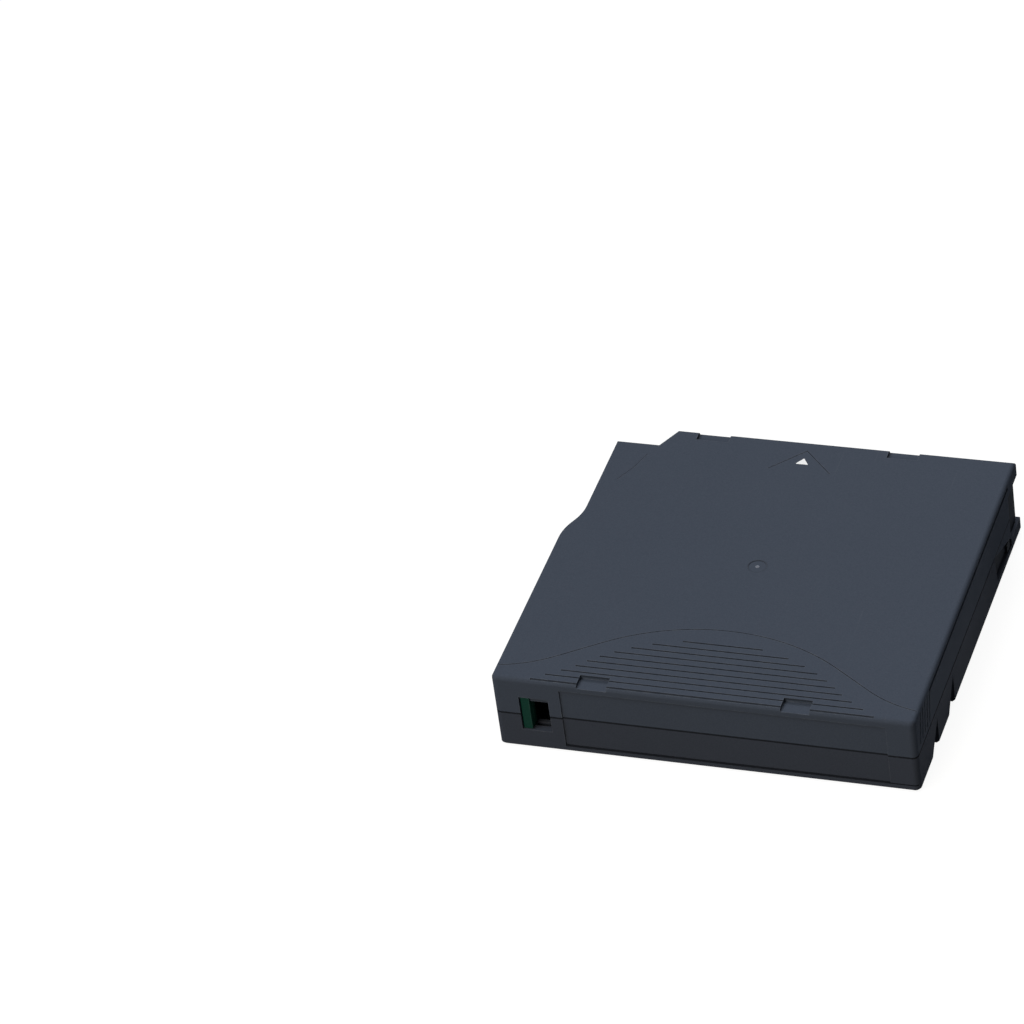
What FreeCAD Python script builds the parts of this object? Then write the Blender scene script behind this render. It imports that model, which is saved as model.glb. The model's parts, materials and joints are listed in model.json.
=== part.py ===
import FreeCAD, Part
import math
import os
import re

import Sketcher
from FreeCAD import Placement, Rotation, Vector

# A half-inch data tape cartridge: a two-part screwed case holding one reel of tape.
# Row frame: X across the case (+X is the access-door side), Y the way the case is
# pushed into a drive (the label face is at -Y), Z up. The origin is the middle of the
# case's footprint on its underside, and the reel turns about the Z axis.

# ---------------------------------------------------------------- driving dimensions
SIZES = {
    # case
    "half_width": 52.7, "half_length": 51.0, "case_height": 21.5, "parting": 10.5,
    "wall": 1.9, "corner_round": 1.5, "edge_round": 1.1, "edge_bevel": 0.7, "parting_bevel": 0.18,
    # stepped front-left corner that stops a drive taking the cartridge the wrong way in
    "step_x": -49.4, "step_start": 7.5, "step_end": 14.5, "step_round": 14.0,
    "setback_y": 44.5, "setback_x": -38.3, "nose_x": -35.0,
    # label recess and write-protect window in the rear wall
    "label_left": -35.6, "label_right": 45.5, "label_low": 2.0, "label_high": 19.2,
    "label_depth": 0.4,
    "window_left": -46.2, "window_right": -38.7, "window_low": 5.8, "window_high": 15.8,
    "window_step": 1.0, "hole_right": -39.0, "hole_high": 14.2,
    # notches sunk into the top edges
    "notch_depth": 1.0, "rear_notch_y": 46.9, "front_notch_y": 47.6,
    # door window, the slot its lug runs in, and the channel the door slides in
    "door_window_y": 41.5, "lip_low": 4.0, "lip_high": 17.3, "slot_y": 25.8,
    "slot_foot_y": 27.2, "channel_face": 51.95, "channel_low": 2.4, "channel_high": 18.4,
    "channel_start": 15.5,
    # access door
    "door_inner": 50.4, "door_outer": 51.7, "door_rear": 27.0, "door_front": 48.8,
    "door_low": 2.6, "door_high": 18.2, "door_tip": 50.85,
    # reel
    "flange_radius": 48.0, "hub_radius": 22.0, "hub_bore": 19.5, "ring_inner": 18.4,
    "floor_low": 2.95, "floor_high": 4.9, "flange_top": 4.05,
    "tape_low": 4.15, "tape_high": 16.8, "hub_top": 16.9, "upper_flange_low": 16.95,
    "upper_flange_high": 18.0, "ring_low": 10.2, "pack_radius": 46.85,
    "opening_radius": 17.8,
    # face gears: the drive's gear below the floor, the brake's gears above it
    "drive_teeth": 60, "drive_in": 13.6, "drive_out": 17.2, "drive_tip": 2.0,
    "brake_teeth": 24, "brake_in": 17.6, "brake_out": 18.8, "brake_tooth": 1.3,
    "leg_circle": 15.4, "leg_half": 1.25, "leg_gap": 0.35,
    # brake button, its spring and the release pad
    "brake_low": 6.5, "brake_plate": 7.9, "brake_radius": 19.0, "post_radius": 7.4,
    "post_top": 13.9, "key_slot_low": 9.3, "key_low": 11.7, "key_width": 1.9,
    "key_length": 11.4, "key_gap": 0.25, "brake_wire": 0.45, "brake_coil": 9.4,
    "brake_turns": 4.5, "pad_low": 4.95, "pad_high": 5.85,
    # screws, bosses and locating holes
    "boss_radius": 2.9, "screw_shank": 1.1, "screw_head": 2.2, "screw_head_low": 0.35,
    "screw_head_high": 1.4, "counterbore": 2.5, "counterbore_depth": 1.5,
    "screw_top": 16.0, "locator_radius": 2.5, "locator_depth": 3.0, "locator_x": 32.0,
    "locator_y": 43.5,
    # leader pin
    "pin_x": 45.2, "pin_y": 45.0, "pin_low": 2.1, "pin_high": 18.85,
}
SCREWS = [(-46.4, -31.5), (46.4, -31.5), (-44.0, 36.5), (37.0, 40.2)]

doc = FreeCAD.newDocument("tape_cartridge")
sheet = doc.addObject("Spreadsheet::Sheet", "Sizes")
for row, (alias, number) in enumerate(SIZES.items(), start=1):
    sheet.set(f"A{row}", alias.replace("_", " "))
    sheet.set(f"B{row}", str(number))
    sheet.setAlias(f"B{row}", alias)
doc.recompute()


# ---------------------------------------------------------------- helpers
def bound(text):
    """Spell a formula's size names as cells of the spreadsheet."""
    def cell(word):
        return "Sizes." + word.group() if word.group() in SIZES else word.group()
    return re.sub(r"[a-z][a-z_]*", cell, str(text))


def size(text):
    """The present value of a formula of size names."""
    return float(sheet.evalExpression(bound(text)))


def datum(body, role):
    return next(part for part in body.Origin.OriginFeatures if part.Role == role)


def new_body(label):
    body = doc.addObject("PartDesign::Body", label)
    body.Label = label
    return body


def sketch(body, name, role="XY_Plane", height="0"):
    """A sketch on one of the body's origin planes, moved along the plane's normal."""
    made = body.newObject("Sketcher::SketchObject", name)
    made.AttachmentSupport = (datum(body, role), [""])
    made.MapMode = "FlatFace"
    made.setExpression("AttachmentOffset.Base.z", bound(height))
    return made


def fix_point(made, curve, end, x, y):
    """Tie a sketch vertex to two formulas."""
    for kind, text in (("DistanceX", x), ("DistanceY", y)):
        rule = Sketcher.Constraint(kind, -1, 1, curve, end, size(text))
        index = made.addConstraint(rule)
        made.setExpression(f"Constraints[{index}]", bound(text))


def polygon(made, corners):
    """A closed outline through corners given as pairs of formulas."""
    points = [Vector(size(x), size(y), 0) for x, y in corners]
    first = made.GeometryCount
    count = len(points)
    for turn, point in enumerate(points):
        made.addGeometry(Part.LineSegment(point, points[(turn + 1) % count]), False)
    for turn, (x, y) in enumerate(corners):
        following = first + (turn + 1) % count
        made.addConstraint(Sketcher.Constraint("Coincident", first + turn, 2, following, 1))
        fix_point(made, first + turn, 1, x, y)


def rectangle(made, left, low, right, high):
    polygon(made, [(left, low), (right, low), (right, high), (left, high)])


def circle(made, x, y, radius):
    centre = Vector(size(x), size(y), 0)
    curve = made.addGeometry(Part.Circle(centre, Vector(0, 0, 1), size(radius)), False)
    fix_point(made, curve, 3, x, y)
    index = made.addConstraint(Sketcher.Constraint("Radius", curve, size(radius)))
    made.setExpression(f"Constraints[{index}]", bound(radius))


def octagon(made, x, y, reach):
    """Eight flats round a point, reach away from it: for posts that nobody sees."""
    half = f"({reach}) * {math.tan(math.pi / 8):.4f}"
    ways = [(reach, half), (half, reach), (f"-({half})", reach), (f"-({reach})", half),
            (f"-({reach})", f"-({half})"), (f"-({half})", f"-({reach})"),
            (half, f"-({reach})"), (reach, f"-({half})")]
    polygon(made, [(f"{x} + {across}", f"{y} + {along}") for across, along in ways])


def pad(body, made, length, reverse=False):
    feature = body.newObject("PartDesign::Pad", made.Name + "_pad")
    feature.Profile = made
    feature.setExpression("Length", bound(length))
    feature.Reversed = reverse
    doc.recompute()
    return feature


def pocket(body, made, length, reverse=False):
    """Cut a sketch into the body, against its normal, and prove that it cuts."""
    before = body.Shape.Volume
    feature = body.newObject("PartDesign::Pocket", made.Name + "_pocket")
    feature.Profile = made
    feature.setExpression("Length", bound(length))
    feature.Reversed = reverse
    doc.recompute()
    if body.Shape.Volume >= before - 1e-6:
        raise RuntimeError(f"{feature.Name} cuts nothing")
    return feature


def revolve(body, made):
    """Turn a profile drawn on the XZ plane once round the Z axis."""
    feature = body.newObject("PartDesign::Revolution", made.Name + "_turn")
    feature.Profile = made
    feature.ReferenceAxis = (made, ["V_Axis"])
    feature.Angle = 360
    doc.recompute()
    return feature


def turned(label, profiles):
    """A turned piece from closed profiles of (radius, height) formulas."""
    body = new_body(label)
    for number, corners in enumerate(profiles):
        made = sketch(body, f"{label}_profile_{number}", "XZ_Plane")
        polygon(made, corners)
        revolve(body, made)
    return body


def polar(body, feature, count, angle=360, clockwise=False):
    """Repeat a feature round the Z axis."""
    pattern = body.newObject("PartDesign::PolarPattern", feature.Name + "_round")
    pattern.Originals = [feature]
    pattern.Axis = (datum(body, "Z_Axis"), [""])
    pattern.Angle = angle
    pattern.Occurrences = count
    pattern.Reversed = clockwise
    body.Tip = pattern
    doc.recompute()
    return pattern


def edges_where(shape, test):
    """Names of the edges whose two ends and middle all pass a test."""
    names = []
    for number, edge in enumerate(shape.Edges, start=1):
        middle = edge.valueAt((edge.FirstParameter + edge.LastParameter) / 2)
        points = [vertex.Point for vertex in edge.Vertexes] + [middle]
        if all(test(point) for point in points):
            names.append(f"Edge{number}")
    return names


def round_edges(body, name, test, amount, kind="Fillet"):
    before = body.Tip
    names = edges_where(before.Shape, test)
    if not names:
        raise RuntimeError(f"{name} finds no edge")
    feature = body.newObject(f"PartDesign::{kind}", name)
    feature.Base = (before, names)
    feature.setExpression("Radius" if kind == "Fillet" else "Size", bound(amount))
    doc.recompute()
    return feature


def upright_at(x, y):
    """A test for the vertical edge over one point of the footprint."""
    return lambda point: abs(point.x - size(x)) < 0.01 and abs(point.y - size(y)) < 0.01


def part_feature(label, shape):
    feature = doc.addObject("Part::Feature", label)
    feature.Shape = shape
    feature.Label = label
    return feature


def cut_away(label, base, tool_shape):
    """The finished sub-part: a body less a tool shape, as a Part::Cut."""
    tool = part_feature(label + "_cutters", tool_shape)
    finished = doc.addObject("Part::Cut", label)
    finished.Base = base
    finished.Tool = tool
    finished.Label = label
    doc.recompute()
    return finished


# ---------------------------------------------------------------- the case's two shells
OUTLINE = [
    ("-half_width", "-half_length"), ("half_width", "-half_length"),
    ("half_width", "half_length"), ("nose_x", "half_length"), ("setback_x", "setback_y"),
    ("step_x", "setback_y"), ("step_x", "step_end"), ("-half_width", "step_start"),
]
# the same outline one wall further in; a slanted side's corners also slide along it
INSIDE = [
    ("wall - half_width", "wall - half_length"), ("half_width - wall", "wall - half_length"),
    ("half_width - wall", "half_length - wall"),
    ("nose_x + 0.614 * wall", "half_length - wall"),
    ("setback_x + 0.614 * wall", "setback_y - wall"), ("step_x + wall", "setback_y - wall"),
    ("step_x + wall", "step_end - 0.224 * wall"),
    ("wall - half_width", "step_start - 0.224 * wall"),
]
ROUNDS = {0: "corner_round", 1: "corner_round", 6: "step_round", 7: "step_round"}


def shell_blank(label, face, depth, upward, kind, rim):
    """A dish with the case's outline: its plate at height face, open at the parting."""
    body = new_body(label)
    outline = sketch(body, label + "_outline", height=face)
    polygon(outline, OUTLINE)
    pad(body, outline, depth, reverse=not upward)
    for corner, amount in ROUNDS.items():
        round_edges(body, f"{label}_corner_{corner}", upright_at(*OUTLINE[corner]), amount)
    level, parting = size(face), size("parting")
    round_edges(body, label + "_rim", lambda p: abs(p.z - level) < 0.01, rim, kind)
    round_edges(body, label + "_seam", lambda p: abs(p.z - parting) < 0.01,
                "parting_bevel", "Chamfer")
    inside = sketch(body, label + "_inside", height="parting")
    polygon(inside, INSIDE)
    pocket(body, inside, f"({depth}) - wall", reverse=not upward)
    return body


def add_bosses(body, label, low, length):
    """Screw bosses, standing between the plate and the parting plane."""
    made = sketch(body, label + "_bosses", height=low)
    for x, y in SCREWS:
        octagon(made, x, y, "boss_radius")
    pad(body, made, length)


def add_block(body, name, low, high, corners):
    """A straight rib or block between two heights, over an outline of formulas."""
    made = sketch(body, name, height=low)
    polygon(made, corners)
    return pad(body, made, f"({high}) - ({low})")


def box_corners(left, rear, right, front):
    return [(left, rear), (right, rear), (right, front), (left, front)]


def cut_box(body, name, low, high, corners):
    """Remove a straight block between two heights."""
    made = sketch(body, name, height=high)
    polygon(made, corners)
    return pocket(body, made, f"({high}) - ({low})")


def arc_ribs(body, label, low, high):
    """Curved walls round the reel in the three corners that no tape crosses."""
    made = sketch(body, label + "_arc_rib", "XZ_Plane")
    made.AttachmentOffset = Placement(Vector(), Rotation(Vector(0, 1, 0), -67))
    rectangle(made, "flange_radius + 1.2", low, "flange_radius + 2.3", high)
    feature = body.newObject("PartDesign::Revolution", label + "_arc_rib_turn")
    feature.Profile = made
    feature.ReferenceAxis = (made, ["V_Axis"])
    feature.Angle = 44
    doc.recompute()
    polar(body, feature, 3, 180, clockwise=True)


def rear_wall_details(body, label, low, high, label_low, label_high, hole_low, hole_high,
                      step_low, step_high):
    """The label recess and one shell's share of the write-protect window."""
    cut_box(body, label + "_label", label_low, label_high,
            box_corners("label_left", "-half_length - 1", "label_right",
                        "-half_length + label_depth"))
    cut_box(body, label + "_window_step", step_low, step_high,
            box_corners("window_left", "-half_length - 1", "window_right",
                        "-half_length + window_step"))
    cut_box(body, label + "_window_hole", hole_low, hole_high,
            box_corners("window_left", "-half_length - 1", "hole_right",
                        "-half_length + wall + 0.5"))


def handling_notch(side, wall_y, ramp_y, top, depth):
    """A notch that fades upward: a square wall to the front and a ramp to the rear."""
    outer = side * (size("half_width") + 0.01)
    inner = side * (size("half_width") - depth)
    foot = Vector(outer, wall_y, -0.01)
    corners = [Vector(inner, wall_y, -0.01), Vector(outer, ramp_y, -0.01),
               Vector(outer, wall_y, top)]
    faces = []
    for skipped in range(4):
        ring = [p for n, p in enumerate([foot] + corners) if n != skipped]
        faces.append(Part.Face(Part.makePolygon(ring + ring[:1])))
    return Part.Solid(Part.Shell(faces))


def build_lower_shell():
    body = shell_blank("lower_moulding", "0", "parting", True, "Chamfer", "edge_bevel")
    add_bosses(body, "lower", "wall / 2", "parting - wall / 2")
    opening = sketch(body, "drive_opening", height="floor_low")
    circle(opening, "0", "0", "opening_radius")
    pocket(body, opening, "floor_low + 1")
    locators = sketch(body, "locator_bosses", height="wall / 2")
    for side in ("-", ""):
        octagon(locators, f"{side}locator_x", "locator_y", "locator_radius + 1.1")
    pad(body, locators, "locator_depth + 0.8 - wall / 2")
    holes = sketch(body, "locator_holes", height="locator_depth")
    circle(holes, "-locator_x", "locator_y", "locator_radius")
    pocket(body, holes, "locator_depth + 1")
    cut_box(body, "locator_slot", "-1", "locator_depth",
            box_corners("locator_x - locator_radius", "locator_y - locator_radius + 0.4",
                        "locator_x + locator_radius", "locator_y + locator_radius - 0.4"))
    heads = sketch(body, "counterbores", height="counterbore_depth")
    shanks = sketch(body, "screw_clearance", height="parting + 1")
    for x, y in SCREWS:
        circle(heads, x, y, "counterbore")
        octagon(shanks, x, y, "screw_shank + 0.15")
    pocket(body, heads, "counterbore_depth + 1")
    pocket(body, shanks, "parting + 2")
    rear_wall_details(body, "lower", "0", "parting", "label_low", "parting + 1",
                      "window_low", "parting + 1", "window_low", "parting + 1")
    # rails that hold the write-protect slider against the rear wall
    add_block(body, "slider_sill", "wall / 2", "4.3",
              box_corners("-half_width + 1", "-half_length + 1", "-37.6", "-46.2"))
    add_block(body, "slider_rail", "4.2", "5.4",
              box_corners("-half_width + 1", "-47.2", "-37.6", "-46.2"))
    # two gussets that carry the memory board at 45 degrees
    for number, left in enumerate((32.0, 46.6)):
        gusset = sketch(body, f"gusset_{number}", "YZ_Plane", height=left)
        polygon(gusset, [("-half_length + 1", "wall / 2"), ("-41.6", "wall / 2"),
                         ("-half_length + 1", "wall / 2 + 8.4")])
        pad(body, gusset, "1.0")
    # spring stop and guide rib of the access door
    add_block(body, "spring_stop", "wall / 2", "13.0",
              box_corners("46.7", "14.0", "half_width - wall", "15.1"))
    add_block(body, "door_guide", "wall / 2", "3.4", box_corners("49.3", "16.0", "50.1", "40.5"))
    peg = sketch(body, "spring_peg", "XZ_Plane", height="-15.0")
    rectangle(peg, "47.65", "9.95", "48.95", "11.25")
    pad(body, peg, "3.0", reverse=True)
    pin_seat(body, "lower", "wall / 2", "3.5")
    arc_ribs(body, "lower", "wall / 2", "8.0")
    # channel, corner window and lug slot of the access door
    cut_box(body, "lower_channel", "channel_low", "parting + 1",
            box_corners("half_width - wall - 0.01", "channel_start", "channel_face",
                        "half_length - wall"))
    cut_box(body, "lower_door_window", "lip_low", "parting + 1",
            box_corners("door_inner - 0.3", "door_window_y", "half_width + 1",
                        "half_length + 1"))
    slot = sketch(body, "lug_slot", "YZ_Plane", height="half_width - wall - 0.01")
    polygon(slot, [("slot_y - 0.2", "parting + 1"), ("slot_foot_y", "wall"),
                   ("door_window_y + 0.5", "wall"), ("door_window_y + 0.5", "parting + 1")])
    pocket(body, slot, "wall + 1", reverse=True)
    notches = Part.Compound([
        handling_notch(side, wall_y, ramp_y, top, 1.7)
        for side in (1, -1) for wall_y, ramp_y, top in ((-17, -23.4, 8.9), (-32.5, -39.4, 8.0))])
    return cut_away("lower_shell", body, notches)


def pin_seat(body, label, low, high):
    """A C-shaped wall round the leader pin's head, open toward the door."""
    cup = sketch(body, label + "_pin_seat", height=low)
    octagon(cup, "pin_x", "pin_y", "3.1")
    circle(cup, "pin_x", "pin_y", "2.25")
    pad(body, cup, f"({high}) - ({low})")
    inside_low = "wall" if label == "lower" else low
    inside_high = high if label == "lower" else "case_height - wall"
    cut_box(body, label + "_pin_exit", inside_low, inside_high,
            box_corners("pin_x + 0.4", "pin_y - 4", "pin_x + 3.6", "pin_y + 2.25"))


def build_upper_shell():
    top = "case_height"
    body = shell_blank("upper_moulding", top, "case_height - parting", False, "Fillet",
                       "edge_round")
    add_bosses(body, "upper", "parting", "case_height - parting - wall / 2")
    pilot = sketch(body, "screw_pilots", height="screw_top + 1")
    for x, y in SCREWS:
        octagon(pilot, x, y, "screw_shank + 0.03")
    pocket(body, pilot, "screw_top + 2 - parting")
    # cross-shaped key that keeps the brake from turning, and its spring's seat ring
    for name, wide, deep in (("key_across", "key_length", "key_width"),
                             ("key_along", "key_width", "key_length")):
        add_block(body, name, "key_low", "case_height - wall / 2",
                  box_corners(f"-{wide} / 2", f"-{deep} / 2", f"{wide} / 2", f"{deep} / 2"))
    seat = sketch(body, "spring_seat", height="case_height - wall - 1.1")
    octagon(seat, "0", "0", "brake_coil + 2.2")
    octagon(seat, "0", "0", "brake_coil + 1.0")
    pad(body, seat, "wall / 2 + 1.1")
    rear_wall_details(body, "upper", "parting", top, "parting - 1", "label_high",
                      "parting - 1", "hole_high", "parting - 1", "window_high")
    add_block(body, "slider_top_rail", "16.0", "case_height - wall / 2",
              box_corners("-half_width + 1", "-47.2", "-37.6", "-46.2"))
    add_block(body, "door_top_guide", "17.8", "case_height - wall / 2",
              box_corners("49.3", "16.0", "50.1", "40.5"))
    pin_seat(body, "upper", "17.5", "case_height - wall / 2")
    # skirt that hangs over the lug slot, outside the door
    skirt = sketch(body, "door_skirt", "YZ_Plane", height="channel_face")
    polygon(skirt, [("slot_y", "parting"), ("39.0", "5.8"), ("door_window_y", "5.3"),
                    ("door_window_y", "parting + 0.5"), ("slot_y", "parting + 0.5")])
    pad(body, skirt, "half_width - channel_face")
    cut_box(body, "upper_channel", "parting - 1", "channel_high",
            box_corners("half_width - wall - 0.01", "channel_start", "channel_face",
                        "half_length - wall"))
    cut_box(body, "upper_door_window", "parting - 6", "lip_high",
            box_corners("door_inner - 0.3", "door_window_y", "half_width + 1",
                        "half_length + 1"))
    sink = sketch(body, "edge_notches", height=top)
    for left, right in ((-31.0, -23.5), (19.9, 27.0)):
        rectangle(sink, left, "-half_length - 1", right, "-rear_notch_y")
    for left, right in ((-29.3, -20.9), (20.4, 28.3)):
        rectangle(sink, left, "front_notch_y", right, "half_length + 1")
    pocket(body, sink, "notch_depth")
    # a finger groove under each long edge of the top plate
    for side, rear, front in ((1, "-37.0", "42.0"), (-1, "-37.0", "1.0")):
        cut_box(body, f"edge_groove_{'r' if side > 0 else 'l'}", "19.4", "20.4",
                box_corners(f"{side} * (half_width + 1)", rear,
                            f"{side} * (half_width - 0.8)", front))
    return cut_away("upper_shell", body, Part.Compound(surface_grooves()))


# ---------------------------------------------------------------- grooves in the top plate
BELL_APEX = -25.1       # where the bell-shaped groove crosses the middle of the case
BELL_CROWN = 51.0       # radius of the bell's crown
BELL_FOOT = 32.0        # radius of its feet
BELL_SLOPE = 35.0       # degrees, the straight flanks between crown and foot
BELL_FLANK = 12.0       # length of a flank
GRIP_FIRST, GRIP_PITCH, GRIP_COUNT = -30.6, 2.18, 10
GRIP_CROWN = 46.0       # radius of the arc on which the finger grooves end
GROOVE_WIDTH, GROOVE_DEPTH = 0.42, 0.28


def bell_side(side):
    """The bell's flank and foot on one side, and the shoulder where its crown ends."""
    slope = math.radians(BELL_SLOPE)
    shoulder = Vector(side * BELL_CROWN * math.sin(slope),
                      BELL_APEX - BELL_CROWN * (1 - math.cos(slope)), size("case_height"))
    ankle = shoulder + Vector(side * math.cos(slope), -math.sin(slope), 0) * BELL_FLANK
    centre = ankle + Vector(side * math.sin(slope), math.cos(slope), 0) * BELL_FOOT

    def on_foot(angle):
        return centre - Vector(side * math.sin(angle), math.cos(angle), 0) * BELL_FOOT

    reach = size("half_width") + 1 - abs(centre.x)
    toe = math.asin(-reach / BELL_FOOT)
    foot = Part.Arc(ankle, on_foot((slope + toe) / 2), on_foot(toe)).toShape()
    return shoulder, [Part.LineSegment(shoulder, ankle).toShape(), foot]


def bell_wire():
    """The bell-shaped line: one crown, and a straight flank and a curved foot on each side."""
    (left, left_edges), (right, right_edges) = bell_side(-1), bell_side(1)
    apex = Vector(0, BELL_APEX, size("case_height"))
    crown = Part.Arc(left, apex, right).toShape()
    return Part.Wire(Part.sortEdges(left_edges + [crown] + right_edges)[0])


def groove_along(wire, width=GROOVE_WIDTH, depth=GROOVE_DEPTH):
    """A square-sided groove that follows a flat wire in the top plate."""
    ribbon = wire.makeOffset2D(width / 2, 2, True, True)
    ribbon.translate(Vector(0, 0, -depth))
    return ribbon.extrude(Vector(0, 0, depth + 1))


def grip_half_length(y):
    """Half the length of the finger groove at y, inside the bell."""
    drop = GRIP_FIRST + 1.1 - y
    crown = math.sqrt(max(GRIP_CROWN ** 2 - (GRIP_CROWN - drop) ** 2, 0))
    return crown + 0.75 * max(drop - 15, 0)


def surface_grooves():
    level = size("case_height")
    cuts = [groove_along(bell_wire())]
    chevron = Part.makePolygon([Vector(-8.1, 38.9, level), Vector(0, 47.3, level),
                                Vector(8.1, 38.9, level)])
    cuts.append(groove_along(chevron, 0.35, 0.2))
    crease = Part.makePolygon([Vector(-44.6, 28.7, level), Vector(-41.9, 34.0, level),
                               Vector(-40.0, 39.8, level)])
    cuts.append(groove_along(crease, 0.5, 0.08))
    for number in range(GRIP_COUNT):
        y = GRIP_FIRST - number * GRIP_PITCH
        half = grip_half_length(y)
        corner = Vector(-half, y - GROOVE_WIDTH / 2, level - GROOVE_DEPTH)
        cuts.append(Part.makeBox(2 * half, GROOVE_WIDTH, GROOVE_DEPTH + 1, corner))
    cuts.append(Part.makeCylinder(2.3, 1, Vector(0, 0.4, level - 0.15)))
    cuts += side_grips()
    return cuts


def side_grips():
    """Five slanted grip grooves on each side, at the rear of the upper shell."""
    grips = []
    for side in (1, -1):
        for number in range(5):
            groove = Part.makeBox(0.8, 0.55, 8.6, Vector(-0.4, 0, 0))
            groove.rotate(Vector(), Vector(1, 0, 0), -13)
            groove.translate(Vector(side * (size("half_width")), -47.6 + 2.15 * number, 12.0))
            grips.append(groove)
    return grips


# ---------------------------------------------------------------- the reel
TOOTH_SHARE = 0.57      # of the pitch, at a tooth's foot
CREST_SHARE = 0.36      # of the foot, at its crest
LEG_ANGLES = (-12, 108, 228)    # degrees, the release pad's legs in the gaps of the drive gear
PEG_ANGLES = (48, 168, 288)     # degrees, the staking pegs of the drive plate
PEG_CIRCLE = 9.0


def face_tooth(body, label, count, root, tip, inner, outer):
    """One of count teeth, lofted outward between two trapezoids, ready to be patterned."""
    sunk = -0.3 if size(tip) > size(root) else 0.3
    half_angle = f"{TOOTH_SHARE} * {math.pi:.6f} / {count}"
    sections = []
    for name, radius in (("inner", inner), ("outer", outer)):
        made = sketch(body, f"{label}_{name}", "YZ_Plane", height=radius)
        foot, crest = f"({radius}) * {half_angle}", f"({radius}) * {half_angle} * {CREST_SHARE}"
        polygon(made, [(f"-{foot}", f"({root}) + {sunk}"), (foot, f"({root}) + {sunk}"),
                       (crest, tip), (f"-{crest}", tip)])
        sections.append(made)
    loft = body.newObject("PartDesign::AdditiveLoft", label)
    loft.Profile = sections[0]
    loft.Sections = [sections[1]]
    loft.Ruled = True
    doc.recompute()
    return loft


def square_at(made, degrees, radius, half):
    """A square outline on a circle round the axis, with two sides facing the axis."""
    angle = math.radians(degrees)
    out, side = (math.cos(angle), math.sin(angle)), (-math.sin(angle), math.cos(angle))
    corners = []
    for outward, sideways in ((1, 1), (-1, 1), (-1, -1), (1, -1)):
        corners.append(tuple(
            f"({radius}) * {out[k]:.6f} + ({half}) * {outward * out[k] + sideways * side[k]:.6f}"
            for k in (0, 1)))
    polygon(made, corners)


def build_reel_hub():
    """Hub, floor and lower flange moulded as one, with gears on both faces of the floor."""
    body = turned("reel_hub", [[
        ("0", "floor_low"), ("flange_radius", "floor_low"), ("flange_radius", "flange_top"),
        ("hub_radius", "flange_top"), ("hub_radius", "hub_top"), ("hub_bore", "hub_top"),
        ("hub_bore", "floor_high"), ("0", "floor_high")]])
    brake_tooth = face_tooth(body, "brake_gear", "brake_teeth", "floor_high",
                             "floor_high + brake_tooth", "brake_in", "brake_out")
    polar(body, brake_tooth, int(size("brake_teeth")))
    # the drive gear has 17 teeth, then a gap for a release leg, three times round
    tooth = face_tooth(body, "drive_gear", "drive_teeth", "floor_low", "drive_tip",
                       "drive_in", "drive_out")
    arc, three = [body.newObject("PartDesign::PolarPattern", name)
                  for name in ("drive_gear_arc", "drive_gear_thirds")]
    for pattern, angle, count in ((arc, 96, 17), (three, 360, 3)):
        pattern.Axis = (datum(body, "Z_Axis"), [""])
        pattern.Angle = angle
        pattern.Occurrences = count
    gear = body.newObject("PartDesign::MultiTransform", "drive_gear_teeth")
    gear.Originals = [tooth]
    gear.Transformations = [arc, three]
    body.Tip = gear
    doc.recompute()
    holes = sketch(body, "leg_holes", height="floor_high")
    for degrees in LEG_ANGLES:
        square_at(holes, degrees, "leg_circle", "leg_half + leg_gap")
    pocket(body, holes, "floor_high + 1")
    pegs = sketch(body, "staking_pegs", height="floor_low")
    for degrees in PEG_ANGLES:
        square_at(pegs, degrees, PEG_CIRCLE, "0.8")
    pad(body, pegs, "0.65", reverse=True)
    return body


def build_drive_plate():
    """The steel washer that the drive's magnet pulls on, staked under the hub floor."""
    body = turned("drive_plate", [[("5.5", "floor_low - 0.7"), ("12.5", "floor_low - 0.7"),
                                   ("12.5", "floor_low"), ("5.5", "floor_low")]])
    holes = sketch(body, "peg_holes", height="floor_low")
    for degrees in PEG_ANGLES:
        square_at(holes, degrees, PEG_CIRCLE, "0.85")
    pocket(body, holes, "1.0")
    return body


def build_upper_flange():
    """The separate upper flange, welded on top of the hub."""
    return turned("upper_flange", [[
        ("ring_inner", "upper_flange_low"), ("flange_radius", "upper_flange_low"),
        ("flange_radius", "upper_flange_high"), ("ring_inner", "upper_flange_high")]])


def build_hub_ring():
    """The metal ring pressed into the hub, so that the wound tape can't squeeze it."""
    return turned("hub_ring", [[("ring_inner", "ring_low"), ("hub_bore - 0.03", "ring_low"),
                                ("hub_bore - 0.03", "hub_top"), ("ring_inner", "hub_top")]])


def build_tape_pack():
    return turned("tape_pack", [[
        ("hub_radius + 0.05", "tape_low"), ("pack_radius", "tape_low"),
        ("pack_radius", "tape_high"), ("hub_radius + 0.05", "tape_high")]])


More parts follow.
